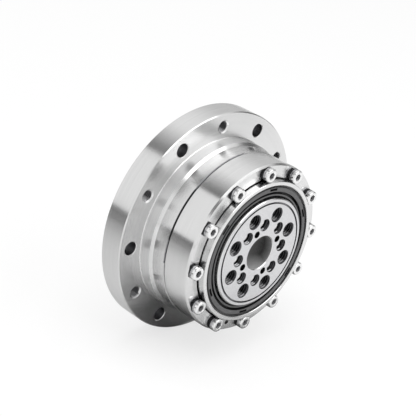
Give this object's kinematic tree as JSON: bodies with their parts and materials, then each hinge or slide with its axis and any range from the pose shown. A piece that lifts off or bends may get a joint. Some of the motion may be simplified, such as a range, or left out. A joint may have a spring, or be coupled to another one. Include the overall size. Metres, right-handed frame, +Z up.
{
  "type": "strain wave gearbox",
  "caption": "Flanged strain wave gearbox: toothed ring housing, elliptic wave generator with a shaft hub, flexing toothed cup and a crossed roller output flange with tapped holes.",
  "frame": {"origin": "centre of the rear mounting face of the flange, on the gear axis", "axes": "-Y along the gear axis out of the output face, +Y out of the input hub, +Z up"},
  "size_m": [0.093, 0.0455, 0.093],
  "materials": {
    "spline_steel": "bright turned steel",
    "ring_steel": "bright turned steel",
    "output_steel": "fine matt ground steel",
    "screw_steel": "bright plated steel with knurled heads",
    "cup_screw_steel": "plain steel",
    "bearing_steel": "polished bearing steel",
    "cup_steel": "fine turned steel",
    "cam_steel": "turned steel",
    "hub_steel": "turned steel",
    "black_steel": "blackened spring steel",
    "insert_bronze": "plain bearing bronze",
    "seal_rubber": "dark grey moulded rubber",
    "cage_plastic": "natural polyamide",
    "spacer_plastic": "natural acetal"
  },
  "bodies": {
    "housing": {"circular_spline": "spline_steel", "bearing_outer_ring": "ring_steel", "roller_plug": "ring_steel", "roller_plug_pin": "black_steel", "body_o_ring": "seal_rubber", "ring_screws": "screw_steel", "output_seal": "seal_rubber"},
    "roller_set": {"crossed_rollers": "bearing_steel", "roller_spacers": "spacer_plastic"},
    "output": {"output_flange": "output_steel", "flexspline": "cup_steel", "clamp_ring": "cam_steel", "flexspline_screws": "cup_screw_steel", "dowel_pins": "cup_screw_steel"},
    "wave_generator": {"cam_plug": "cam_steel", "cam_outer_race": "bearing_steel", "cam_inner_race": "bearing_steel", "cam_balls": "bearing_steel", "cam_ball_cage": "cage_plastic"},
    "coupling_insert": {"oldham_insert": "insert_bronze"},
    "input": {"input_hub": "hub_steel", "hub_set_screws": "black_steel", "hub_washer": "insert_bronze", "hub_snap_ring": "black_steel"}
  },
  "joints": [
    {"name": "input_spin", "type": "hinge", "parent": "output", "child": "wave_generator", "pos_m": [0, 0, 0], "axis": [0, -1, 0], "continuous": true, "deforming": ["flexspline"]},
    {"name": "output_spin", "type": "hinge", "parent": "housing", "child": "output", "pos_m": [0, 0, 0], "axis": [0, -1, 0], "continuous": true},
    {"name": "roller_orbit", "type": "hinge", "parent": "housing", "child": "roller_set", "pos_m": [0, 0, 0], "axis": [0, -1, 0], "continuous": true},
    {"name": "insert_float", "type": "slide", "parent": "wave_generator", "child": "coupling_insert", "axis": [0, 0, 1], "range_m": [-0.0002, 0.0002]},
    {"name": "hub_float", "type": "slide", "parent": "coupling_insert", "child": "input", "axis": [1, 0, 0], "range_m": [-0.0002, 0.0002]}
  ],
  "couplings": [
    {"joint": "output_spin", "follows": "input_spin", "ratio": -0.019608},
    {"joint": "roller_orbit", "follows": "input_spin", "ratio": -0.0092707}
  ]
}
